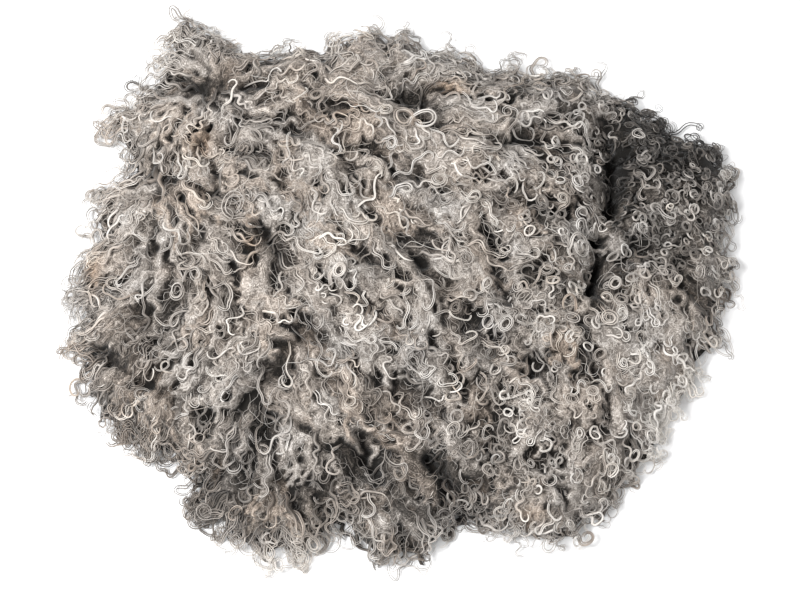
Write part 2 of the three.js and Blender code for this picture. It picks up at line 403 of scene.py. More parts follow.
STEEPEST_FALL = 1.1  # how steeply a lock hangs over the fleece's edge
RISES_BY = 1.25  # in lengths of a lock, how soon it has risen from its root
STAPLE_LEVEL = 0.7  # how much of a lock's height its staple shares
LOCK_LEVEL = 0.3  # and how much is its own
LEAST_HEIGHT = 2.0 * MM  # how near the ground a lock's middle comes
LEAST_CLEARANCE = 1.5 * MM  # and a strand's
SIDES = 3  # of each strand
STRAND_APART = 0.137  # between two strands in their material's pattern
BRIGHT_LIFT = 2.5 * MM  # how much higher the brighter locks lie
STRAND_SPREAD = 0.3
STRAND_BEATS = (0.6, 1.6)
STRAND_WANDER = 0.35
STRAND_RISE = 0.9 * MM
STRAND_SAG = 0.4  # how much lower a strand lies for its distance aside
BRIGHT_THIN = 0.5  # how much thinner the brighter locks are at the root
ENDS_THIN = 0.4  # how thin the first and the last of a strand are
ROOT_SWELLS = 5  # how soon it has its full thickness
TIP_WANES = 6  # how late it loses it

# How light wool is, from 0 to 1.
SHADE_VARIES = 0.07
STRAND_SHADE_VARIES = 0.04
BRIGHTER = 0.07
# Painted shade: the outer strands of a lock are darker than its middle, like the shaded sides of a
# round cord.
OUTER_STRAND_PAINTED_SHADE = 0.07
PAINTED_SHADE_OF_DEPTH = 0.38  # painted shade: how much darker wool is deep down between the staples or in a parting
SHADED_FROM = -1 * MM  # at this height over the form it begins to darken
SHADED_TO = -15 * MM  # and here it is darkest
TIP_PALES = (1.4, 0.4)  # how late a lock pales to its tip, and what its root loses for it
CURLY_FROM = 0.6  # the turns of the tips from which the mass gets painted shade, for the dark gaps between its curls
WARMTH = (0.03, 0.12)  # how brown a staple is, and how much staples differ

# The soft mass.
MASS_STEP = 2.05 * MM  # its grid
MASS_DRAWN_IN = 12 * MM  # how far inside the edge it ends
MASS_RIM = 3 * MM  # how thick it is there
MASS_RIM_FADE = 8 * MM  # and how soon it rises inwards
MASS_FLOOR = 16 * MM  # how deep below the form it lies between the staples
MASS_SOFTENED = 2  # times, so that its ridges melt together
BARE_SHADE = 0.28  # painted shade: how dark the mass is where no lock lies, deep between the staples
# Painted shade: the mass's side under its rim is dark.
SKIRT_SHADE = 0.2
CREVICE_SHADE = 0.36  # painted shade: how much darker it is where it lies below what is round it
CREVICE_DEPTH = 5 * MM  # how deep that is
CREVICE_SOFTENED = 20  # and what is round it: the mass, softened so many times
RIDGE_SHADE = 0.1  # painted light: how much paler a ridge may get for lying above what is round it
PALEST_MASS = 0.56


# ---------------------------------------------------------------- the fleece's form


def grid_of(low, step, count):
    """The X and the Y of a grid's points, numbered along X first."""
    return np.meshgrid(*(low[a] + step * np.arange(count[a]) for a in (0, 1)), indexing="ij")


class Form:
    """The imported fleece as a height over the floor, with the distance to its edge."""

    STEP = 3 * MM
    MARGIN = 45 * MM

    def __init__(self, node):
        solid = bpy.data.objects[node]
        vertices = [solid.matrix_world @ v.co for v in solid.data.vertices]
        tree = BVHTree.FromPolygons(vertices, [tuple(p.vertices) for p in solid.data.polygons])
        low, high = (np.array(corner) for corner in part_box(node))
        self.low = low[:2] - self.MARGIN
        self.count = np.ceil((high[:2] + self.MARGIN - self.low) / self.STEP).astype(int) + 1
        down = Vector((0, 0, -1))
        height = np.zeros(self.count)
        for i in range(self.count[0]):
            for j in range(self.count[1]):
                x, y = self.low + self.STEP * np.array((i, j))
                hit = tree.ray_cast(Vector((x, y, 2 * high[2])), down)[0]
                height[i, j] = hit.z if hit else 0.0
        inside = height > 0
        self.edge = self._edge_distance(inside)
        grid = grid_of(self.low, self.STEP, self.count)
        sunk = np.maximum(height - depth_of_partings(*grid), PARTED_LEAST * height)
        sunk = np.minimum(sunk, APRON + RIM_SLOPE * np.maximum(self.edge, 0))
        self.height = self._with_apron(sunk, inside)
        self.out_x, self.out_y = (-g for g in np.gradient(self.edge, self.STEP))

    def _edge_distance(self, inside):
        """How far each point of the grid is from the edge, below zero outside it."""
        core = inside[1:-1, 1:-1]
        around = inside[:-2, 1:-1] & inside[2:, 1:-1] & inside[1:-1, :-2] & inside[1:-1, 2:]
        rim = np.argwhere(core & ~around) + 1
        tree = KDTree(len(rim))
        for number, cell in enumerate(rim):
            tree.insert((cell[0], cell[1], 0), number)
        tree.balance()
        distance = np.empty(self.count)
        for i in range(self.count[0]):
            for j in range(self.count[1]):
                distance[i, j] = tree.find((i, j, 0))[2]
        return self.STEP * np.where(inside, distance, -distance)

    def _with_apron(self, height, inside):
        """Past the edge the height falls away softly, for locks that lie over it."""
        apron = APRON * np.exp(np.minimum(self.edge, 0) / APRON_FADE)
        return np.where(inside, height, apron)

    def sample(self, field, x, y):
        """A field of the grid between its points."""
        at = (np.stack((x, y), -1) - self.low) / self.STEP
        at = np.clip(at, 0, self.count - 1.001)
        cell = at.astype(int)
        part = at - cell
        i, j = cell[..., 0], cell[..., 1]
        u, v = part[..., 0], part[..., 1]
        near = field[i, j] * (1 - u) + field[i + 1, j] * u
        far = field[i, j + 1] * (1 - u) + field[i + 1, j + 1] * u
        return near * (1 - v) + far * v

    def height_at(self, x, y):
        return self.sample(self.height, x, y)

    def edge_at(self, x, y):
        return self.sample(self.edge, x, y)

    def outwards_at(self, x, y):
        """How far along X and Y a step towards the nearest edge goes."""
        return self.sample(self.out_x, x, y), self.sample(self.out_y, x, y)


def partings_near(x, y):
    """Each parting, with how far off it these places lie, in its widths, and which way."""
    for parting in PARTINGS:
        start_x, start_y = parting["start"][0] * MM, parting["start"][1] * MM
        run_x, run_y = parting["end"][0] * MM - start_x, parting["end"][1] * MM - start_y
        share = ((x - start_x) * run_x + (y - start_y) * run_y) / (run_x ** 2 + run_y ** 2)
        share = np.clip(share, 0, 1)
        off_x = x - start_x - share * run_x
        off_y = y - start_y - share * run_y
        far = np.hypot(off_x, off_y) / (parting["width"] * MM)
        yield parting, far, off_x, off_y


def depth_of_partings(x, y):
    """How far the partings sink the fleece here."""
    depth = np.zeros(np.shape(x))
    for parting, far, _, _ in partings_near(x, y):
        depth = np.maximum(depth, parting["depth"] * MM * np.exp(-far ** 2))
    return depth


def lie_weights(x, y):
    """Each row of the table of lies, with how much it counts at these places."""
    for patch in LIE_OF_THE_WOOL:
        near = np.hypot(x - patch["at"][0] * MM, y - patch["at"][1] * MM) / (patch["reach"] * MM)
        yield patch, np.exp(-near ** 2)


def lie_at(x, y, column):
    """A column of the table of lies, blended over the patches."""
    total = np.full(np.shape(x), 1e-9)
    blended = np.zeros(np.shape(x))
    for patch, weight in lie_weights(x, y):
        total += weight
        blended += weight * patch[column]
    return blended / total


def heading_at(form, x, y):
    """Which way the wool lies, in radians: the patches' way, and outwards at the edge."""
    along = np.zeros(np.shape(x))
    across = np.zeros(np.shape(x))
    for patch, weight in lie_weights(x, y):
        along += weight * math.cos(math.radians(patch["heading"]))
        across += weight * math.sin(math.radians(patch["heading"]))
    size = np.hypot(along, across) + 1e-9
    outwards = np.exp(-np.maximum(form.edge_at(x, y), 0) / FOLLOW_EDGE)
    out_x, out_y = form.outwards_at(x, y)
    along = along / size * (1 - outwards) + out_x * outwards * OUTWARDS_PULL
    across = across / size * (1 - outwards) + out_y * outwards * OUTWARDS_PULL
    for _, far, off_x, off_y in partings_near(x, y):
        away = PARTED_PULL * np.exp(-(far / PARTED_REACH) ** 2) / (np.hypot(off_x, off_y) + MM)
        along += away * off_x
        across += away * off_y
    return np.arctan2(across, along)


def off_middle(patch, x, y):
    """How far along X and Y these places lie off a patch's middle, in its reaches."""
    far_x = (x - patch["at"][0] * MM) / (patch["reach"][0] * MM)
    far_y = (y - patch["at"][1] * MM) / (patch["reach"][1] * MM)
    return far_x, far_y


def tone_at(x, y, column):
    """How much the patches of tone add to the shade or the warmth here."""
    tone = np.zeros(np.shape(x))
    for patch in TONE_PATCHES:
        far_x, far_y = off_middle(patch, x, y)
        tone += patch.get(column, 0) * np.exp(-(far_x ** 2) - far_y ** 2)
    return tone


def matted_at(form, x, y):
    """The share of the locks rooted here that don't stand out."""
    share = np.zeros(np.shape(x))
    for patch in MATTED:
        far_x, far_y = off_middle(patch, x, y)
        share = np.maximum(share, patch["share"] * np.exp(-(far_x ** 4) - far_y ** 4))
    return share * np.clip(form.edge_at(x, y) / MATTED_FROM, 0, 1)


# ---------------------------------------------------------------- locks and strands


def rooted_places(form, rng, spacing, from_edge, clear):
    """Places in plan on a jittered triangular grid, this far inside the fleece's edge."""
    low = np.array(CAD_BOX[0][:2])
    high = np.array(CAD_BOX[1][:2])
    across = np.arange(low[0], high[0], spacing)
    rows = np.arange(low[1], high[1], spacing * math.sqrt(0.75))
    x, y = np.meshgrid(across, rows)
    x[1::2] += spacing / 2
    x = x.ravel() + rng.uniform(-ROOTS_STRAY, ROOTS_STRAY, x.size) * spacing
    y = y.ravel() + rng.uniform(-ROOTS_STRAY, ROOTS_STRAY, y.size) * spacing
    kept = (form.edge_at(x, y) > from_edge) & (depth_of_partings(x, y) < clear)
    order = rng.permutation(np.flatnonzero(kept))
    return x[order], y[order]


def lock_habits(form, shared, rng, roots, style):
    """How each lock on these roots heads, bends, waves, steps and curls.

    Locks of one staple share their way and their crimp, so the draws for these come from
    a generator that each kind of its locks starts anew.
    """
    x, y, staple, staples = roots["x"], roots["y"], roots["staple"], roots["staples"]
    count = len(x)
    turned = shared.normal(0, style["scatter"], staples)[staple]
    heading = heading_at(form, x, y) + turned + rng.normal(0, style["stray"], count)
    heading = heading - 2 * roots["abreast"] * style["converge"]
    turns = style["turns"] * lie_at(x, y, "turns") * rng.uniform(*TURNS_VARY, count)
    wave = style["wave"] * lie_at(x, y, "wave") * shared.uniform(*WAVES_VARY, staples)[staple]
    wavelength = style["wavelength"] * shared.uniform(*WAVELENGTHS_VARY, staples)[staple]
    phase = shared.uniform(0, TURN, staples)[staple] + rng.normal(0, OUT_OF_PHASE, count)
    hand = np.where(rng.random(count) < SAME_HAND, shared.choice((-1.0, 1.0), staples)[staple],
                    rng.choice((-1.0, 1.0), count))
    radius = style["curl_radius"] * rng.uniform(*RADII_VARY, count)
    bend = shared.normal(0, style["bend"], staples)[staple] + rng.normal(0, OUT_OF_BEND, count)
    size = lie_at(x, y, "size")
    step = rng.uniform(*style["step"], count) * MM * (1 - STEP_OF_SIZE + STEP_OF_SIZE * size)
    habits = dict(heading=heading, bend=bend, wave=wave, wavelength=wavelength * size, phase=phase,
                  step=step, turns=turns, hand=hand, radius=radius * size)
    return {habit: values[:, None] for habit, values in habits.items()}


def crimp(shared, rng, roots, habits, along, share):
    """How far a lock swings to a side at each of its points, in radians."""
    staple, staples = roots["staple"], roots["staples"]
    drift, swell = shared.uniform(*SLOW_SWINGS, (2, staples))[:, staple, None]
    drift_from, swell_from = shared.uniform(0, TURN, (2, staples))[:, staple, None]
    hurry = STAPLE_HURRY * np.sin(TURN * share * drift + drift_from)
    own_from = TURN * rng.random((len(staple), 1))
    hurry = hurry + LOCK_HURRY * np.sin(TURN * share * LOCK_SWINGS + own_from)
    beat = TURN * along / habits["wavelength"] + habits["phase"] + hurry
    strength = STRENGTH + STRENGTH_SWING * np.sin(TURN * share * swell + swell_from)
    return habits["wave"] * strength * np.cos(beat) * np.clip(share / WAVES_FROM, 0, 1)


def lock_paths(form, shared, rng, roots, style):
    """Centre lines in plan of the locks on these roots.

    A lock heads the way the wool lies, swings from side to side as its crimp does, and
    winds up at its tip.
    """
    x, y, count = roots["x"], roots["y"], len(roots["x"])
    habits = lock_habits(form, shared, rng, roots, style)
    pace = np.interp(np.linspace(0, 1, style["points"]), *STRIDES)
    strides = habits["step"] * pace
    along = np.cumsum(strides, axis=1) - strides[:, :1]
    length = along[:, -1:]
    share = along / length
    full_curl = habits["turns"] * TURN * habits["radius"] * CURL_PACE
    curl_length = np.minimum(full_curl, LONGEST_CURL * length)
    curl = np.clip((along - (length - curl_length)) / (curl_length + 1e-9), 0, 1)
    swing = crimp(shared, rng, roots, habits, along, share) * (1 - curl)
    tightening = rng.uniform(*TIGHTENS, (count, 1))
    wound = TURN * habits["turns"] * ((1 - tightening) * curl + tightening * curl ** 2)
    axis = habits["heading"] + habits["bend"] * share
    angle = axis + swing + habits["hand"] * wound
    # A curl is drawn out one way into an oval.
    oval = rng.uniform(0, OVALS, (count, 1)) * np.cos(2 * (angle - TURN * rng.random((count, 1))))
    strides = strides * (1 + oval * np.clip(OVAL_PACE * curl, 0, 1))
    run_x = np.cumsum(np.cos(angle) * strides, axis=1)
    run_y = np.cumsum(np.sin(angle) * strides, axis=1)
    px = x[:, None] + run_x - run_x[:, :1]
    py = y[:, None] + run_y - run_y[:, :1]
    px, py = held_in(form, rng, px, py, style["past"])
    return dict(x=px, y=py, angle=angle, axis=axis, curl=curl, share=share, strides=strides)


def held_in(form, rng, px, py, past):
    """Shifts locks that run out past the fleece's edge back, some short of it, some past."""
    allowed = past[0] + (past[1] - past[0]) * rng.random(len(px)) ** FEWER_OUT
    each = np.arange(len(px))
    for _ in range(3):
        edge = form.edge_at(px, py)
        farthest = edge.argmin(axis=1)
        shift = np.maximum(-edge[each, farthest] - allowed, 0)
        out_x, out_y = form.outwards_at(px[each, farthest], py[each, farthest])
        size = np.hypot(out_x, out_y) + 1e-6
        px = px - (shift * out_x / size)[:, None]
        py = py - (shift * out_y / size)[:, None]
    return px, py


def raise_paths(form, shared, rng, roots, paths, style):
    """Heights for plan paths: rooted below the surface, tips lying on top of it."""
    count = len(paths["x"])
    ground = form.height_at(paths["x"], paths["y"])
    for point in range(1, ground.shape[1]):
        least = ground[:, point - 1] - STEEPEST_FALL * paths["strides"][:, point]
        ground[:, point] = np.maximum(ground[:, point], least)
    rise = np.sin(np.clip(paths["share"] * RISES_BY, 0, 1) * math.pi / 2)
    level = STAPLE_LEVEL * shared.random(roots["staples"])[roots["staple"]]
    level = level + LOCK_LEVEL * rng.random(count)
    top = style["low"] + (style["high"] - style["low"]) * level[:, None]
    lift = style["sunk"] + (top - style["sunk"]) * rise + style["stack"] * paths["curl"]
    lift = lift + style["dome"] * (1 - (2 * roots["abreast"][:, None]) ** 2) * rise
    in_curl = paths["curl"].sum(1) + 1e-9
    middle_x = (paths["x"] * paths["curl"]).sum(1) / in_curl
    middle_y = (paths["y"] * paths["curl"]).sum(1) / in_curl
    slope_x = rng.normal(0, style["tilt"], count)[:, None]
    slope_y = rng.normal(0, style["tilt"], count)[:, None]
    leaning = slope_x * (paths["x"] - middle_x[:, None])
    leaning = leaning + slope_y * (paths["y"] - middle_y[:, None])
    lift = lift + leaning * np.clip(paths["curl"] * LEAN_PACE, 0, 1)
    return np.maximum(ground + lift, LEAST_HEIGHT)


def strands_of(paths, height, rng, per_lock, spread, gather):
    """Several strands side by side along each lock, gathered towards its tip."""
    lines = []
    ranks = []
    count = len(paths["x"])
    for number in range(per_lock):
        rank = abs(number - (per_lock - 1) / 2)
        offset = (number - (per_lock - 1) / 2) / max(per_lock - 1, 1) * 2
        offset = offset + rng.normal(0, STRAND_SPREAD, count)
        width = spread * (1 - (1 - gather) * paths["share"])
        beats = rng.uniform(*STRAND_BEATS, (count, 1))
        beats = paths["share"] * beats + rng.random((count, 1))
        wander = 1 + STRAND_WANDER * np.sin(TURN * beats)
        aside = offset[:, None] * width * wander
        # Beside the lock's axis while it waves, and round its curl once it winds up.
        way = np.where(paths["curl"] > 0, paths["angle"], paths["axis"])
        x = paths["x"] - np.sin(way) * aside
        y = paths["y"] + np.cos(way) * aside
        z = height + rng.normal(0, STRAND_RISE, (count, 1)) - STRAND_SAG * np.abs(aside)
        lines.append(np.stack((x, y, z), -1))
        ranks.append(np.full(count, rank))
    return np.concatenate(lines), np.concatenate(ranks)


def around_a_strand():
    """The bearings of a strand's sides, the first one on top."""
    return TURN * (np.arange(SIDES) / SIDES) + math.pi / 2


def tubes(centre, half_width, half_height):
    """Closed tubes round centre lines (strands, points, 3), flattened if wanted."""
    strands, points, _ = centre.shape
    tangent = np.gradient(centre, axis=1)
    tangent /= np.linalg.norm(tangent, axis=2, keepdims=True) + 1e-12
    aside = np.cross(tangent, (0.0, 0.0, 1.0))
    aside /= np.linalg.norm(aside, axis=2, keepdims=True) + 1e-9
    above = np.cross(aside, tangent)
    bearing = around_a_strand()
    around = np.stack((np.cos(bearing), np.sin(bearing)), -1)
    vertices = (centre[:, :, None, :]
                + aside[:, :, None, :] * (half_width[:, :, None] * around[:, 0])[..., None]
                + above[:, :, None, :] * (half_height[:, :, None] * around[:, 1])[..., None])
    base = (np.arange(strands) * points * SIDES)[:, None, None]
    ring = (np.arange(points - 1) * SIDES)[None, :, None]
    side = np.arange(SIDES)[None, None, :]
    following = (side + 1) % SIDES
    quads = np.stack((base + ring + side, base + ring + SIDES + side,
                      base + ring + SIDES + following, base + ring + following), -1)
    first = base[:, 0] + np.arange(SIDES)[None, :]
    last = base[:, 0] + (points - 1) * SIDES + np.arange(SIDES)[None, ::-1]
    return vertices.reshape(-1, 3), quads.reshape(-1, 4), np.concatenate((first, last))


def strand_map(strands, points):
    """A place of its own in the texture square for every strand's faces."""
    # A strand's cell, its sides' margin and size in it, and its ends' middle and size.
    cells_across_for_one_up = 10
    left, low, wide, tall = 0.06, 0.02, 0.88, 0.92
    end_x, end_y, end_wide, end_tall = 0.06, 0.97, 0.04, 0.01
    columns = int(math.ceil(math.sqrt(strands * cells_across_for_one_up)))
    rows = int(math.ceil(strands / columns))
    column, row = np.arange(strands) % columns, np.arange(strands) // columns
    ring = np.arange(points - 1)[None, :, None, None] + np.array((0, 1, 1, 0))
    side = np.arange(SIDES)[None, None, :, None] + np.array((0, 0, 1, 1))
    u = (column[:, None, None, None] + left + wide * side / SIDES) / columns
    v = (row[:, None, None, None] + low + tall * ring / (points - 1)) / rows
    u, v = np.broadcast_arrays(u, v)
    on_quads = np.stack((u, v), -1).reshape(-1, 2)
    corner = TURN * (np.arange(SIDES) / SIDES)
    tiny = np.stack((end_x + end_wide * np.cos(corner), end_y + end_tall * np.sin(corner)), -1)
    cell = np.stack((column, row), -1)
    on_ends = ((cell[:, None, :] + tiny[None]) / (columns, rows)).reshape(-1, 2)
    return np.concatenate((on_quads, on_ends, on_ends))


def mesh_piece(name, vertices, quads, caps, marks, places, material):
    """One mesh object from arrays, riding on the fleece's body."""
    mesh = bpy.data.meshes.new(name)
    loops = np.concatenate((quads.ravel(), caps.ravel()))
    sizes = np.concatenate((np.full(len(quads), 4), np.full(len(caps), caps.shape[1])))
    starts = np.concatenate(((0,), np.cumsum(sizes)[:-1]))
    mesh.vertices.add(len(vertices))
    mesh.vertices.foreach_set("co", vertices.astype(np.float32).ravel())
    mesh.loops.add(len(loops))
    mesh.loops.foreach_set("vertex_index", loops.astype(np.int32))
    mesh.polygons.add(len(starts))
    mesh.polygons.foreach_set("loop_start", starts.astype(np.int32))
    mesh.update(calc_edges=True)
    mesh.shade_smooth()
    for mark, values in marks.items():
        layer = mesh.attributes.new(mark, "FLOAT", "POINT")
        layer.data.foreach_set("value", np.asarray(values, np.float32).ravel())
    mesh.uv_layers.new(name="OFBake").data.foreach_set("uv", places.astype(np.float32).ravel())
    mesh.materials.append(material)
    piece = bpy.data.objects.new(name, mesh)
    bpy.context.scene.collection.objects.link(piece)
    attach(piece, "root")
    return piece


def wool_piece(name, centre, radius, flat, shade, warmth, material):
    """Strands as one piece. Radius, flatness, shade and warmth are given per point."""
    strands, points, _ = centre.shape

    def each(values):
        return np.repeat(np.broadcast_to(values, (strands, points)).ravel(), SIDES)

    vertices, quads, caps = tubes(centre, radius, radius * flat)
    across = (radius[:, :, None] * np.cos(around_a_strand())).ravel()
    steps = np.linalg.norm(np.diff(centre, axis=1), axis=2)
    along = np.concatenate((np.zeros((strands, 1)), np.cumsum(steps, axis=1)), axis=1)
    number = np.arange(strands)[:, None] * STRAND_APART
    marks = dict(across=across, along=each(along), strand=each(number), shade=each(shade),
                 warmth=each(warmth))
    places = strand_map(strands, points)
    return mesh_piece(name, vertices, quads, caps, marks, places, material)


# ---------------------------------------------------------------- materials


class Value:
    """A number or socket of a material that takes part in sums."""

    def __init__(self, nodes, socket):
        self.nodes = nodes
        self.socket = socket

    def _with(self, operation, first, second):
        return self.nodes.add("ShaderNodeMath", dict(operation=operation), {0: first, 1: second})

    def __add__(self, other):
        return self._with("ADD", self, other)

    def __sub__(self, other):
        return self._with("SUBTRACT", self, other)

    def __rsub__(self, other):
        return self._with("SUBTRACT", other, self)

    def __mul__(self, other):
        return self._with("MULTIPLY", self, other)

    __radd__ = __add__
    __rmul__ = __mul__


class Nodes:
    """The node tree of one new material."""

    def __init__(self, name):
        self.material = bpy.data.materials.new(name)
        self.material.use_nodes = True
        self.tree = self.material.node_tree
        self.tree.nodes.clear()

    def add(self, kind, settings=None, inputs=None, output=0):
        node = self.tree.nodes.new(kind)
        for setting, value in (settings or {}).items():
            if setting == "stops":
                self._set_stops(node.color_ramp, value)
            else:
                setattr(node, setting, value)
        for socket, value in (inputs or {}).items():
            if isinstance(value, Value):
                self.tree.links.new(value.socket, node.inputs[socket])
            else:
                node.inputs[socket].default_value = value
        return Value(self, node.outputs[output]) if len(node.outputs) else node

    def _set_stops(self, ramp, stops):
        while len(ramp.elements) < len(stops):
            ramp.elements.new(0.5)
        for element, (position, colour) in zip(ramp.elements, stops):
            element.position = position
            element.color = (*colour, 1)

    def mark(self, name):
        return self.add("ShaderNodeAttribute", dict(attribute_name=name), output="Fac")

    def vector(self, x, y, z):
        return self.add("ShaderNodeCombineXYZ", inputs={0: x, 1: y, 2: z})

    def noise(self, vector, scale, detail=2.0, roughness=0.5):
        return self.add("ShaderNodeTexNoise", dict(noise_dimensions="3D"),
                        {"Vector": vector, "Scale": scale, "Detail": detail,
                         "Roughness": roughness}, output="Fac")

    def mix(self, factor, first, second, blend="MIX"):
        return self.add("ShaderNodeMix", dict(data_type="RGBA", blend_type=blend),
                        {"Factor": factor, 6: first, 7: second}, output=2)

    def finish(self, surface):
        self.add("ShaderNodeOutputMaterial", inputs={"Surface": surface})
        return self.material


WOOL_TONES = (
    (0.0, (0.010, 0.009, 0.008)),
    (0.3, (0.068, 0.060, 0.053)),
    (0.55, (0.235, 0.213, 0.192)),
    (0.8, (0.54, 0.505, 0.468)),
    (1.0, (0.79, 0.757, 0.715)),
)
TAN = (0.40, 0.27, 0.16, 1)
WARM_GREY = (0.54, 0.498, 0.46, 1)
COOL_GREY = (0.465, 0.496, 0.53, 1)
ROUGHNESS_VARIES = 0.2
STREAKS_ALONG = 26.0  # how often the fibres' pattern changes along a metre of strand
CLOUD_SCALE = 66.0
CLOUD_DEPTH = 0.42
GREYS_SCALE = 17.0  # of the warm and cool greys
PALE_HAIRS = ((120.0, 0.03), (230.0, 0.045))  # scale and thickness of the mass's fine hairs
DARK_HAIRS = (170.0, 0.04)


def curly_hairs(nodes, place, scale, thickness):
    """Fine crossing hairs: the curling lines where a smooth noise has its middle value."""
    level = nodes.noise(place, scale, detail=1.0)
    line = ((0.5 - thickness, (0, 0, 0)), (0.5, (1, 1, 1)), (0.5 + thickness, (0, 0, 0)))
    return nodes.add("ShaderNodeValToRGB", dict(stops=line), {0: level})


def wool_material(name, streak_scale, streak_depth, roughness, gloss, bump, hairs=0.0):
    """Lustrous wool with fine fibres along each strand, in clouds of paler and darker grey."""
    nodes = Nodes(name)
    fibre = nodes.vector(nodes.mark("across") * streak_scale, nodes.mark("along") * STREAKS_ALONG,
                         nodes.mark("strand"))
    streaks = nodes.noise(fibre, 1.0, detail=2.0, roughness=0.55)
    place = nodes.add("ShaderNodeTexCoord", output="Object")
    cloud = nodes.noise(place, CLOUD_SCALE)
    tone = nodes.mark("shade") + (streaks - 0.5) * streak_depth + (cloud - 0.5) * CLOUD_DEPTH
    if hairs:
        coarse, fine = PALE_HAIRS
        pale_hairs = curly_hairs(nodes, place, *coarse) + curly_hairs(nodes, place, *fine)
        dark_hairs = curly_hairs(nodes, place, *DARK_HAIRS)
        tone = tone + pale_hairs * hairs - dark_hairs * hairs
    colour = nodes.add("ShaderNodeValToRGB", dict(stops=WOOL_TONES), {0: tone})
    areas = nodes.noise(place, GREYS_SCALE, detail=3.0, roughness=0.6)
    grey = nodes.mix(areas, WARM_GREY, COOL_GREY)
    colour = nodes.mix(1.0, colour, grey, blend="OVERLAY")
    tinted = nodes.mix(1.0, colour, TAN, blend="OVERLAY")
    colour = nodes.mix(nodes.mark("warmth"), colour, tinted)
    surface = nodes.add("ShaderNodeBsdfPrincipled", inputs={
        "Base Color": colour,
        "Roughness": roughness + (streaks - 0.5) * ROUGHNESS_VARIES,
        "IOR": 1.5,
        "Specular IOR Level": gloss,
        "Sheen Weight": 0.12,
        "Sheen Roughness": 0.4,
        "Normal": nodes.add("ShaderNodeBump", inputs={
            "Strength": bump, "Distance": 0.6 * MM, "Height": streaks}),
    })
    return nodes.finish(surface)


# ---------------------------------------------------------------- pieces


def thickness(rng, share, bright, style):
    """The radius of each strand at these shares of its length."""
    root = rng.uniform(*style["root"], (len(share), 1)) * MM
    tip = rng.uniform(*style["tip"], (len(share), 1)) * MM
    root = root * (1 - BRIGHT_THIN * bright[:, None])
    return tip + (root - tip) * (1 - share) ** style["taper"]


def mass_ridges(form, seed):
    """Points along the locks of every staple, which are the ridges of the soft mass."""
    style = MASS_LOCKS
    root_x, root_y, heading = staple_roots(form, seed)
    rng = np.random.default_rng(seed + 9)
    x, y, staple, abreast = staple_places(rng, root_x, root_y, heading, style["per_staple"])
    roots = dict(x=x, y=y, staple=staple, staples=len(root_x), abreast=abreast)
    shared = np.random.default_rng(seed)
    paths = lock_paths(form, shared, rng, roots, style)
    height = raise_paths(form, shared, rng, roots, paths, style)
    centre = np.stack((paths["x"], paths["y"], height), -1)
    share = paths["share"]
    plain = np.zeros(len(x))
    width = thickness(rng, share, plain, style)
    shade, warmth = tones(form, shared, rng, roots, centre, share, plain, plain, style)
    number = np.broadcast_to(np.arange(len(x))[:, None] * STRAND_APART, share.shape)
    along = np.cumsum(paths["strides"], axis=1)
    ridges = dict(x=paths["x"], y=paths["y"], z=height, width=width, along=along, strand=number,
                  shade=shade, warmth=warmth)
    for column, values in ridges.items():
        halfway = np.empty((len(x), 2 * style["points"] - 1))
        halfway[:, ::2] = values
        halfway[:, 1::2] = (values[:, 1:] + values[:, :-1]) / 2
        ridges[column] = halfway
    way_x, way_y = np.gradient(ridges["x"], axis=1), np.gradient(ridges["y"], axis=1)
    ridges["stride"] = np.hypot(way_x, way_y) + 1e-9
    ridges["way_x"], ridges["way_y"] = way_x / ridges["stride"], way_y / ridges["stride"]
    return {column: values.ravel() for column, values in ridges.items()}


def draped_over(ridges, low, count):
    """On a grid, the height of the highest ridge, which point it belongs to and how far aside."""
    height = np.full(count[0] * count[1], -1.0)
    owner = np.full(height.shape, -1)
    aside = np.zeros(height.shape)
    i = np.rint((ridges["x"] - low[0]) / MASS_STEP).astype(int)
    j = np.rint((ridges["y"] - low[1]) / MASS_STEP).astype(int)
    window = int(math.ceil(ridges["width"].max() / MASS_STEP))
    for over in range(-window, window + 1):
        for up in range(-window, window + 1):
            off_x = low[0] + (i + over) * MASS_STEP - ridges["x"]
            off_y = low[1] + (j + up) * MASS_STEP - ridges["y"]
            across = ridges["way_x"] * off_y - ridges["way_y"] * off_x
            forward = ridges["way_x"] * off_x + ridges["way_y"] * off_y
            beyond = np.abs(forward) - ridges["stride"] / 2
            far = np.hypot(across, np.maximum(beyond, 0)) / ridges["width"]
            arch = np.sqrt(np.maximum(1 - far ** 2, 0))
            top = ridges["z"] + MASS_LOCKS["flat"] * ridges["width"] * arch
            cell = (i + over) * count[1] + j + up
            wins = np.flatnonzero((far < 1) & (top > height[cell]))
            wins = wins[np.argsort(top[wins])]
            height[cell[wins]] = top[wins]
            owner[cell[wins]] = wins
            aside[cell[wins]] = across[wins]
    return height.reshape(count), owner.reshape(count), aside.reshape(count)


def softened(field, passes):
    """A field of a grid, blurred so many times."""
    for _ in range(passes):
        wide = np.pad(field, 1, mode="edge")
        field = (wide[:-2, 1:-1] + 2 * field + wide[2:, 1:-1]) / 4
        wide = np.pad(field, 1, mode="edge")
        field = (wide[1:-1, :-2] + 2 * field + wide[1:-1, 2:]) / 4
    return field


def one_patch(cells):
    """These cells of a grid as one patch with no holes and no corners that only touch."""
    def flooded(open_cells, start):
        reached = np.zeros(open_cells.shape, bool)
        waiting = [start]
        reached[start] = True
        while waiting:
            i, j = waiting.pop()
            for place in ((i + 1, j), (i - 1, j), (i, j + 1), (i, j - 1)):
                inside = 0 <= place[0] < open_cells.shape[0] and 0 <= place[1] < open_cells.shape[1]
                if inside and open_cells[place] and not reached[place]:
                    reached[place] = True
                    waiting.append(place)
        return reached

    middle = tuple(size // 2 for size in cells.shape)
    for _ in range(3):
        cells = ~flooded(~flooded(cells, middle), (0, 0))
        a, b, c, d = cells[:-1, :-1], cells[1:, :-1], cells[:-1, 1:], cells[1:, 1:]
        cells[:-1, :-1] |= b & c & ~d
        cells[1:, :-1] |= a & d & ~c
    return cells


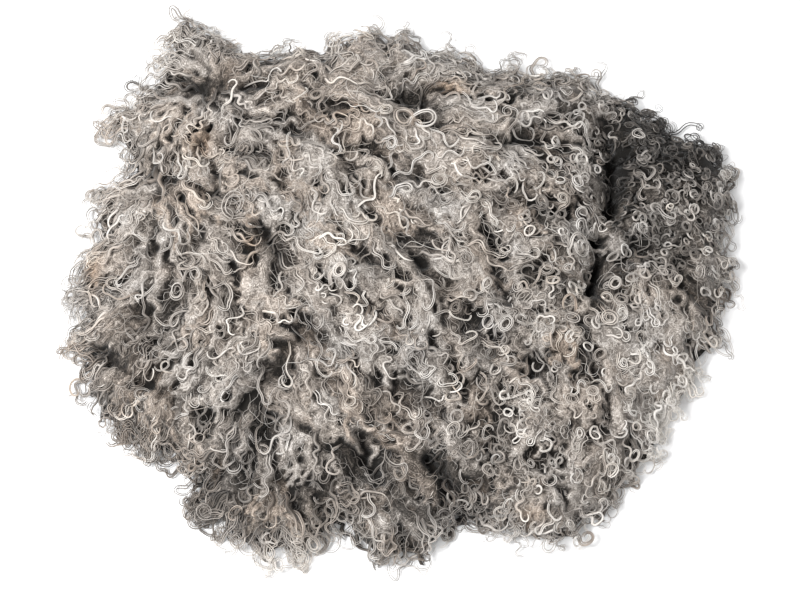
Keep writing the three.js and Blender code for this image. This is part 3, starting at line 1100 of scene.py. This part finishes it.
def rim_of(corners):
    """The loop of corner numbers round these quads, in the quads' own turning sense."""
    starts = corners.ravel()
    ends = np.roll(corners, -1, axis=1).ravel()
    total = int(starts.max()) + 1
    outer = ~np.isin(starts * total + ends, ends * total + starts)
    following = dict(zip(starts[outer].tolist(), ends[outer].tolist()))
    loop = [next(iter(following))]
    while len(loop) < len(following):
        loop.append(following[loop[-1]])
    return np.array(loop)


def mass_map(top, foot, corners, skirt, caps, low, size):
    """Places in the texture square: nearly all for the upper face, a free corner for the rest."""
    margin, wide, under_wide = 0.01, 0.98, 0.04
    over = margin + wide * (top[:, :2] - low) / size
    under = margin + under_wide * (foot[:, :2] - low) / size
    place = np.concatenate((over, under))
    on_skirt = place[skirt]
    on_skirt[:, 0] = on_skirt[:, 3] = 0.9 * under
    on_faces = (place[corners], on_skirt, place[caps])
    return np.concatenate([places.reshape(-1, 2) for places in on_faces])


def mass_fields(form, seed):
    """The soft mass on its grid: places, heights, distances to the edge, and marks."""
    ridges = mass_ridges(form, seed)
    count = ((form.count - 1) * form.STEP / MASS_STEP).astype(int)
    x, y = grid_of(form.low, MASS_STEP, count)
    height, owner, aside = draped_over(ridges, form.low, count)
    edge = form.edge_at(x, y)
    bare = owner < 0
    height = np.maximum(height, form.height_at(x, y) - MASS_FLOOR)
    risen = 1 - np.exp(-np.maximum(edge - MASS_DRAWN_IN, 0) / MASS_RIM_FADE)
    height = MASS_RIM + np.maximum(softened(height, MASS_SOFTENED) - MASS_RIM, 0) * risen
    relief = (height - softened(height, CREVICE_SOFTENED)) / CREVICE_DEPTH
    marks = {column: np.where(bare, 0, ridges[column][owner])
             for column in ("along", "strand", "shade", "warmth")}
    marks["across"] = np.where(bare, x, aside)
    marks["along"] = np.where(bare, y, marks["along"])
    # Painted shade where no lock lies and in the mass's crevices, painted light on its ridges.
    marks["shade"] = np.where(bare, BARE_SHADE, marks["shade"])
    marks["shade"] = marks["shade"] + CREVICE_SHADE * np.clip(relief, -1, RIDGE_SHADE)
    marks["shade"] = np.minimum(marks["shade"], PALEST_MASS)
    return x, y, height, edge, marks


def soft_mass(form, seed, material):
    """The fleece's body: one closed piece whose upper face is the fused mass of its locks."""
    x, y, height, edge, marks = mass_fields(form, seed)
    kept = edge > MASS_DRAWN_IN
    cells = one_patch(kept[:-1, :-1] & kept[1:, :-1] & kept[:-1, 1:] & kept[1:, 1:])
    i, j = np.nonzero(cells)
    number = np.arange(edge.size).reshape(edge.shape)
    corners = np.stack((number[i, j], number[i + 1, j], number[i + 1, j + 1], number[i, j + 1]), -1)
    size = np.array(edge.shape) * MASS_STEP
    used, corners = np.unique(corners, return_inverse=True)
    corners = corners.reshape(-1, 4)
    rim = rim_of(corners)
    x, y, height, edge = (field.ravel()[used] for field in (x, y, height, edge))
    inwards = edge[rim] - MASS_DRAWN_IN
    x[rim] += inwards * form.sample(form.out_x, x[rim], y[rim])
    y[rim] += inwards * form.sample(form.out_y, x[rim], y[rim])
    top = np.stack((x, y, height), -1)
    foot = np.stack((x[rim], y[rim], np.zeros(len(rim))), -1)
    below = len(top) + np.arange(len(rim))
    skirt = np.stack((rim, below, np.roll(below, -1), np.roll(rim, -1)), -1)
    quads = np.concatenate((corners, skirt))
    caps = below[None, ::-1]
    marks = {mark: np.concatenate((values.ravel()[used], values.ravel()[used][rim]))
             for mark, values in marks.items()}
    # painted shade on the side under the rim
    marks["shade"][len(top):] = SKIRT_SHADE
    places = mass_map(top, foot, corners, skirt, caps, form.low, size)
    vertices = np.concatenate((top, foot))
    mass = mesh_piece("soft_mass", vertices, quads, caps, marks, places, material)
    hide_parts("fleece")
    return mass


def set_abreast(x, y, way, side, back=0.0):
    """Places beside and before others, across and along the way that the wool lies there."""
    return (x - np.sin(way) * side + np.cos(way) * back,
            y + np.cos(way) * side + np.sin(way) * back)


def staple_places(rng, x, y, heading, locks):
    """Roots of the locks of each staple, set abreast across the way it lies."""
    staple = np.repeat(np.arange(len(x)), locks)
    abreast = np.tile(np.linspace(-0.5, 0.5, locks), len(x))
    abreast = abreast + rng.normal(0, ABREAST_VARIES, len(staple))
    back = rng.uniform(-ROOTED_BACK, ROOTED_BACK, len(staple)) * STAPLE_WIDTH
    side = abreast * STAPLE_WIDTH
    lock_x, lock_y = set_abreast(x[staple], y[staple], heading[staple], side, back)
    return lock_x, lock_y, staple, abreast


def locks(form, shared, rng, name, roots, material, style):
    """Locks of one or more strands each, waving along and curled up at their tips."""
    paths = lock_paths(form, shared, rng, roots, style)
    bright = rng.random(len(roots["x"])) < style["bright_share"]
    height = raise_paths(form, shared, rng, roots, paths, style) + bright[:, None] * BRIGHT_LIFT
    return spun(form, name, shared, rng, roots, paths, height, bright, material, style)


def spun(form, name, shared, rng, roots, paths, height, bright, material, style):
    """Strands along lock paths, with their thickness and tone, as one piece."""
    per_lock = style["strands"]
    centre, rank = strands_of(paths, height, rng, per_lock, style["spread"], style["gather"])
    centre[:, :, 2] = np.maximum(centre[:, :, 2], LEAST_CLEARANCE)
    share = np.tile(paths["share"], (per_lock, 1))
    radius = thickness(rng, share, np.tile(bright, per_lock), style)
    # Both ends run out thin, the tip more than the root.
    radius = radius * np.clip(ENDS_THIN + ROOT_SWELLS * share, 0, 1)
    radius = radius * (1 - ENDS_THIN * share ** TIP_WANES)
    radius = radius * np.tile(roots.get("thick", np.ones(len(bright))), per_lock)[:, None]
    radius[:, -1] *= ENDS_THIN
    flat = style["flat"][0] + (style["flat"][1] - style["flat"][0]) * share
    shade, warmth = tones(form, shared, rng, roots, centre, share, rank, bright, style)
    # Matted locks are left out last, with draws of their own, so that the rest don't change.
    matted = matted_at(form, paths["x"][:, 0], paths["y"][:, 0]) * style["felts"]
    stands = np.random.default_rng(len(matted)).random(len(matted)) >= matted
    kept = np.tile(stands, per_lock)
    strands = (each[kept] for each in (centre, radius, flat, shade, warmth))
    return wool_piece(name, *strands, material)


def tones(form, shared, rng, roots, centre, share, rank, bright, style):
    """How light and how brown each point of these strands is, painted shade included."""
    staple, staples = roots["staple"], roots["staples"]
    count = len(staple)
    per_lock = style["strands"]
    shade = style["shade"] + shared.normal(0, style["spread_of_shade"], staples)[staple]
    shade = shade + rng.normal(0, SHADE_VARIES, count) + BRIGHTER * bright + roots.get("pale", 0)
    # painted shade on a lock's outer strands
    shade = np.tile(shade, per_lock) - OUTER_STRAND_PAINTED_SHADE * rank
    shade = shade + rng.normal(0, STRAND_SHADE_VARIES, len(centre))
    shade = shade[:, None] + style["pale_tip"] * (share ** TIP_PALES[0] - TIP_PALES[1])
    x, y = centre[:, :, 0], centre[:, :, 1]
    shade = shade + tone_at(x, y, "shade") * style["follows_tone"]
    # Painted shade in the gaps between curls: the mass is darker where the tips curl.
    shade = shade - style["dark_if_curly"] * np.clip(lie_at(x, y, "turns") - CURLY_FROM, 0, 1)
    # Painted shade: wool that lies deep down, between the staples or in a parting, is darker.
    lift = centre[:, :, 2] - form.height_at(x, y) - depth_of_partings(x, y)
    shade = shade - PAINTED_SHADE_OF_DEPTH * np.clip((lift - SHADED_FROM) / (SHADED_TO - SHADED_FROM), 0, 1)
    warmth = shared.normal(*WARMTH, staples)[staple]
    warmth = np.tile(warmth, per_lock)[:, None] + tone_at(x, y, "warmth")
    return shade, np.clip(warmth, 0, 1)


def single_locks(form, seed, name, material, style):
    """Locks that each go their own way, all over the fleece or in a belt along its edge."""
    rng = np.random.default_rng(seed)
    nearest, farthest = style["from_edge"]
    x, y = rooted_places(form, rng, style["spacing"], nearest, style["clear"])
    kept = form.edge_at(x, y) < farthest
    x, y = x[kept], y[kept]
    curly = style["where_curly"]
    if curly:
        wanted = np.interp(lie_at(x, y, "turns"), curly["turns"], (curly["least"], 1))
        kept = rng.random(len(x)) < wanted
        x, y = x[kept], y[kept]
    roots = dict(x=x, y=y, staple=np.arange(len(x)), staples=len(x), abreast=np.zeros(len(x)))
    return locks(form, rng, rng, name, roots, material, style)


def staple_roots(form, seed):
    """Where each staple is rooted, and which way the wool lies there."""
    rng = np.random.default_rng(seed)
    x, y = rooted_places(form, rng, STAPLE_SPACING, STAPLE_ROOTS_FROM, COMMON["clear"])
    kept = rng.random(len(x)) > BARE_SHARE
    return x[kept], y[kept], heading_at(form, x[kept], y[kept])


def stapled_locks(form, seed, kinds):
    """Locks in staples, the clumps that wool grows in. Each kind is shared out over pieces."""
    root_x, root_y, heading = staple_roots(form, seed)
    for number, (name, per_staple, pieces, material, style) in enumerate(kinds):
        rng = np.random.default_rng(seed + 1 + number)
        x, y, staple, abreast = staple_places(rng, root_x, root_y, heading, per_staple)
        for piece in range(pieces):
            mine = staple % pieces == piece
            roots = dict(x=x[mine], y=y[mine], staple=staple[mine], staples=len(root_x),
                         abreast=abreast[mine])
            shared = np.random.default_rng(seed)
            locks(form, shared, rng, f"{name}_{piece + 1}", roots, material, style)


def edge_tufts(form, seed, name, tufts, material):
    """Tufts at the edge that reach out past the rest of it."""
    style = TUFT_LOCKS
    rng = np.random.default_rng(seed)
    at = np.array([tuft["at"] for tuft in tufts]) * MM
    heading = heading_at(form, at[:, 0], at[:, 1])
    per_tuft = np.array([tuft["locks"] for tuft in tufts])
    tuft = np.repeat(np.arange(len(at)), per_tuft)
    abreast = np.concatenate([np.linspace(-0.5, 0.5, locks) for locks in per_tuft])
    x, y = set_abreast(at[tuft, 0], at[tuft, 1], heading[tuft], abreast * style["width"])
    roots = dict(x=x, y=y, staple=tuft, staples=len(at), abreast=abreast)
    return locks(form, rng, rng, name, roots, material, style)


def curl_paths(rng, style):
    """Centre lines in plan of the table's curls, each a wavy lead that runs into its ring."""
    rows = len(CURLS)

    def column(key):
        return np.array([curl[key] for curl in CURLS], float)[:, None]

    centre = np.array([curl["at"] for curl in CURLS]) * MM
    radius, lead, hand = column("radius") * MM, column("lead") * MM, column("hand")
    heading = np.radians(column("heading"))
    ring_points = style["points"] - style["lead_points"]
    wound = np.linspace(0, 1, ring_points)[None, :]
    turned = hand * wound * column("turns") * TURN
    bearing = heading - hand * TURN / 4 + turned
    reach = radius * (1 - style["winding_in"] * wound)
    reach = reach * (1 + style["squash"] * np.sin(2 * bearing + TURN * rng.random((rows, 1))))
    ring_x = centre[:, :1] + reach * np.cos(bearing)
    ring_y = centre[:, 1:] + reach * np.sin(bearing)
    back = lead * np.linspace(1, 0, style["lead_points"], endpoint=False)[None, :]
    aside = style["aside"] * np.sin(TURN * back / style["wavelength"])
    aside = aside * np.clip(back / style["waves_from"], 0, 1)
    lead_x = ring_x[:, :1] - back * np.cos(heading) - aside * np.sin(heading)
    lead_y = ring_y[:, :1] - back * np.sin(heading) + aside * np.cos(heading)
    straight = np.zeros((rows, style["lead_points"]))
    curl = np.concatenate((straight, np.broadcast_to(wound, (rows, ring_points))), 1)
    angle = np.concatenate((np.broadcast_to(heading, lead_x.shape), heading + turned), 1)
    share = np.broadcast_to(np.linspace(0, 1, style["points"]), angle.shape)
    return dict(x=np.concatenate((lead_x, ring_x), 1), y=np.concatenate((lead_y, ring_y), 1),
                angle=angle, axis=np.broadcast_to(heading, angle.shape), curl=curl, share=share)


def set_curls(form, seed, name, material):
    """The single curls of the table, risen from the wool."""
    style = SET_CURLS
    rng = np.random.default_rng(seed)
    paths = curl_paths(rng, style)
    rise = np.clip(paths["share"] * 2, 0, 1)
    height = form.height_at(paths["x"], paths["y"]) + style["sunk"]
    height = height + (style["high"] - style["sunk"]) * rise + style["stack"] * paths["curl"]
    thick = np.array([curl.get("thick", 1.0) for curl in CURLS])
    pale = np.array([curl.get("pale", 0.0) for curl in CURLS])
    roots = dict(staple=np.arange(len(CURLS)), staples=len(CURLS), thick=thick, pale=pale)
    bright = np.zeros(len(CURLS), bool)
    return spun(form, name, rng, rng, roots, paths, height, bright, material, style)


# ---------------------------------------------------------------- room, light, camera


PAPER_GREYS = ((0.86, 0.86, 0.865, 1), (0.9, 0.9, 0.9, 1))
PAPER_GRAIN = 3.0
FLOOR_SIZE = 12
ROOM_BRIGHTNESS = 0.66
CAMERA_AIM = (-0.0087, -0.0286, 0.0273)
CAMERA_ELEVATION = math.radians(75)
CAMERA_DISTANCE = 1.9
CAMERA_LENS = 71.6


def plain_floor():
    """Pale paper under the fleece."""
    nodes = Nodes("white_paper")
    grain = nodes.noise(nodes.add("ShaderNodeTexCoord", output="Object"), PAPER_GRAIN)
    colour = nodes.mix(grain, *PAPER_GREYS)
    surface = nodes.add("ShaderNodeBsdfPrincipled", inputs={"Base Color": colour, "Roughness": 0.8})
    bpy.ops.mesh.primitive_plane_add(size=FLOOR_SIZE, location=(0, 0, 0))
    floor = bpy.context.object
    floor.name = "floor"
    floor.data.materials.append(nodes.finish(surface))


def soft_light(name, place, size, power):
    """A round lamp that faces the middle of the floor."""
    lamp = bpy.data.lights.new(name, "AREA")
    lamp.shape = "DISK"
    lamp.size = size
    lamp.energy = power
    light = bpy.data.objects.new(name, lamp)
    light.location = place
    light.rotation_euler = (-Vector(place)).to_track_quat("-Z", "Y").to_euler()
    bpy.context.scene.collection.objects.link(light)


def studio_light():
    """An even white room with one large lamp at the left and a weak one opposite."""
    world = bpy.data.worlds.new("studio")
    world.use_nodes = True
    background = world.node_tree.nodes["Background"].inputs
    background["Color"].default_value = (1, 1, 1, 1)
    background["Strength"].default_value = ROOM_BRIGHTNESS
    bpy.context.scene.world = world
    soft_light("key", place=(-1.15, -0.25, 2.05), size=0.9, power=68)
    soft_light("fill", place=(1.2, 0.8, 1.8), size=1.6, power=8)


def overhead_camera():
    """The camera in front of the fleece and high over it."""
    camera = bpy.data.cameras.new("camera")
    camera.lens = CAMERA_LENS
    camera.sensor_width = 36
    camera.clip_end = 20
    holder = bpy.data.objects.new("camera", camera)
    back = Vector((0, -math.cos(CAMERA_ELEVATION), math.sin(CAMERA_ELEVATION)))
    holder.location = Vector(CAMERA_AIM) + CAMERA_DISTANCE * back
    holder.rotation_euler = (-back).to_track_quat("-Z", "Y").to_euler()
    bpy.context.scene.collection.objects.link(holder)
    bpy.context.scene.camera = holder
    bpy.context.scene.view_settings.view_transform = "Standard"


# ---------------------------------------------------------------- assembly

overhead_camera()
studio_light()
plain_floor()

form = Form("fleece")
mass_wool = wool_material("mass_wool", streak_scale=1000.0, streak_depth=0.9, roughness=0.85,
                          gloss=0.15, bump=0.8, hairs=0.18)
lock_wool = wool_material("lock_wool", streak_scale=900.0, streak_depth=1.0, roughness=0.75,
                          gloss=0.3, bump=0.7)
body_wool = wool_material("body_wool", streak_scale=900.0, streak_depth=1.0, roughness=0.65,
                          gloss=0.35, bump=0.7)
staple_wool = wool_material("staple_wool", streak_scale=900.0, streak_depth=0.7, roughness=0.58,
                            gloss=0.42, bump=0.5)
curl_wool = wool_material("curl_wool", streak_scale=1100.0, streak_depth=0.4, roughness=0.45,
                          gloss=0.5, bump=0.3)

soft_mass(form, 23, mass_wool)
single_locks(form, 11, "under_locks", lock_wool, UNDER_LOCKS)
stapled_locks(form, 23, [
    ("staple_bodies", 3, 1, body_wool, STAPLE_BODIES),
    ("staple_cords", 3, 2, staple_wool, STAPLE_CORDS),
    ("staple_fibres", 8, 2, curl_wool, STAPLE_FIBRES),
])
single_locks(form, 31, "ring_locks", curl_wool, RING_LOCKS)
single_locks(form, 59, "small_curls", curl_wool, SMALL_CURLS)
edge_tufts(form, 37, "edge_tufts", EDGE_TUFTS, staple_wool)
edge_tufts(form, 43, "near_tufts", NEAR_TUFTS, staple_wool)
set_curls(form, 41, "set_curls", curl_wool)
single_locks(form, 71, "edge_wisps", curl_wool, EDGE_WISPS)
single_locks(form, 53, "flyaways", curl_wool, FLYAWAYS)
